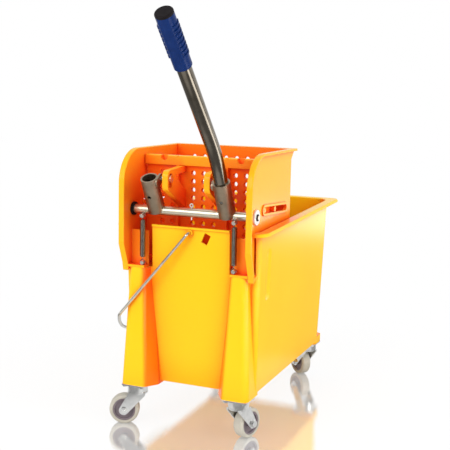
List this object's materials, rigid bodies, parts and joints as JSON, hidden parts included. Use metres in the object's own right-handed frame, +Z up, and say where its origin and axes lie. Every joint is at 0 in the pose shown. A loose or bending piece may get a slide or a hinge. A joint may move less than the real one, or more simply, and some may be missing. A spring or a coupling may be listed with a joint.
{
  "type": "mop bucket trolley",
  "caption": "Yellow moulded mop bucket on swivel casters with a drop-in side-press wringer worked by a long sprung hand lever, and a wire carrying bail.",
  "frame": {"origin": "on the floor, midway between the four caster swivel axes", "axes": "+X to the side with the handle, -Y towards the wringer end, +Z up"},
  "size_m": [0.307, 0.6583, 0.6649],
  "materials": {
    "yellow_plastic": "gloss moulded",
    "dark_plastic": "satin",
    "bright_steel": "bright plated",
    "socket_steel": "satin",
    "tube_steel": "polished",
    "blue_grip": "ridged",
    "white_plastic": "satin",
    "zinc": "zinc plated",
    "hub_plastic": "moulded",
    "tread": "non-marking grey"
  },
  "bodies": {
    "trolley": {"bucket": "yellow_plastic", "bucket_front": "yellow_plastic", "wringer_left_cheek": "yellow_plastic", "wringer_right_cheek": "yellow_plastic", "wringer_back_grid": "yellow_plastic", "wringer_drain_floor": "yellow_plastic", "shaft_bush_left": "dark_plastic", "shaft_bush_right": "dark_plastic", "spring_anchor_pins": "bright_steel", "spring_left": "bright_steel", "spring_right": "bright_steel", "caster_plate_fl": "zinc", "caster_plate_fr": "zinc", "caster_plate_rl": "zinc", "caster_plate_rr": "zinc", "kingpin_fl": "zinc", "kingpin_fr": "zinc", "kingpin_rl": "zinc", "kingpin_rr": "zinc", "caster_screws": "zinc"},
    "lever": {"cross_shaft": "bright_steel", "spring_posts": "bright_steel", "shaft_split_pin": "bright_steel", "shaft_washers": "white_plastic", "shaft_clips": "dark_plastic", "socket_left": "socket_steel", "socket_right": "socket_steel", "crank_pins": "bright_steel", "handle_tube": "tube_steel", "handle_bolt": "bright_steel", "handle_grip": "blue_grip", "grip_cap": "dark_plastic"},
    "press": {"press_plate": "yellow_plastic", "drive_arm_left": "yellow_plastic", "drive_arm_right": "yellow_plastic"},
    "bail": {"bail": "bright_steel"},
    "caster_fl": {"fork_fl": "zinc", "axle_fl": "zinc", "axle_nut_fl": "zinc"},
    "wheel_fl": {"hub_fl": "hub_plastic", "tyre_fl": "tread"},
    "caster_fr": {"fork_fr": "zinc", "axle_fr": "zinc", "axle_nut_fr": "zinc"},
    "wheel_fr": {"hub_fr": "hub_plastic", "tyre_fr": "tread"},
    "caster_rl": {"fork_rl": "zinc", "axle_rl": "zinc", "axle_nut_rl": "zinc"},
    "wheel_rl": {"hub_rl": "hub_plastic", "tyre_rl": "tread"},
    "caster_rr": {"fork_rr": "zinc", "axle_rr": "zinc", "axle_nut_rr": "zinc"},
    "wheel_rr": {"hub_rr": "hub_plastic", "tyre_rr": "tread"}
  },
  "joints": [
    {"name": "lever_hinge", "type": "hinge", "parent": "trolley", "child": "lever", "pos_m": [0, -0.176, 0.363], "axis": [-1, 0, 0], "range_deg": [0, 60], "stiffness_Nm_per_rad": 1, "springref_deg": -20.05, "deforming": ["spring_left", "spring_right"]},
    {"name": "press_slide", "type": "slide", "parent": "trolley", "child": "press", "axis": [0, 0.9981, -0.061], "range_m": [0, 0.0546]},
    {"name": "bail_hinge", "type": "hinge", "parent": "trolley", "child": "bail", "pos_m": [0, 0, 0.331], "axis": [0, 1, 0], "range_deg": [0, 16]},
    {"name": "swivel_fl", "type": "hinge", "parent": "trolley", "child": "caster_fl", "pos_m": [-0.091, -0.183, 0.06], "axis": [0, 0, 1], "continuous": true},
    {"name": "spin_fl", "type": "hinge", "parent": "caster_fl", "child": "wheel_fl", "pos_m": [-0.11154, -0.19088, 0.025], "axis": [0.3584, -0.9336, 0], "continuous": true},
    {"name": "swivel_fr", "type": "hinge", "parent": "trolley", "child": "caster_fr", "pos_m": [0.091, -0.183, 0.06], "axis": [0, 0, 1], "continuous": true},
    {"name": "spin_fr", "type": "hinge", "parent": "caster_fr", "child": "wheel_fr", "pos_m": [0.0978, -0.16208, 0.025], "axis": [-0.9511, 0.309, 0], "continuous": true},
    {"name": "swivel_rl", "type": "hinge", "parent": "trolley", "child": "caster_rl", "pos_m": [-0.091, 0.183, 0.06], "axis": [0, 0, 1], "continuous": true},
    {"name": "spin_rl", "type": "hinge", "parent": "caster_rl", "child": "wheel_rl", "pos_m": [-0.11005, 0.194, 0.025], "axis": [-0.5, -0.866, 0], "continuous": true},
    {"name": "swivel_rr", "type": "hinge", "parent": "trolley", "child": "caster_rr", "pos_m": [0.091, 0.183, 0.06], "axis": [0, 0, 1], "continuous": true},
    {"name": "spin_rr", "type": "hinge", "parent": "caster_rr", "child": "wheel_rr", "pos_m": [0.07415, 0.19714, 0.025], "axis": [-0.6428, -0.766, 0], "continuous": true}
  ],
  "couplings": [
    {"joint": "press_slide", "follows": "lever_hinge", "m_per_rad": 0.051986}
  ]
}
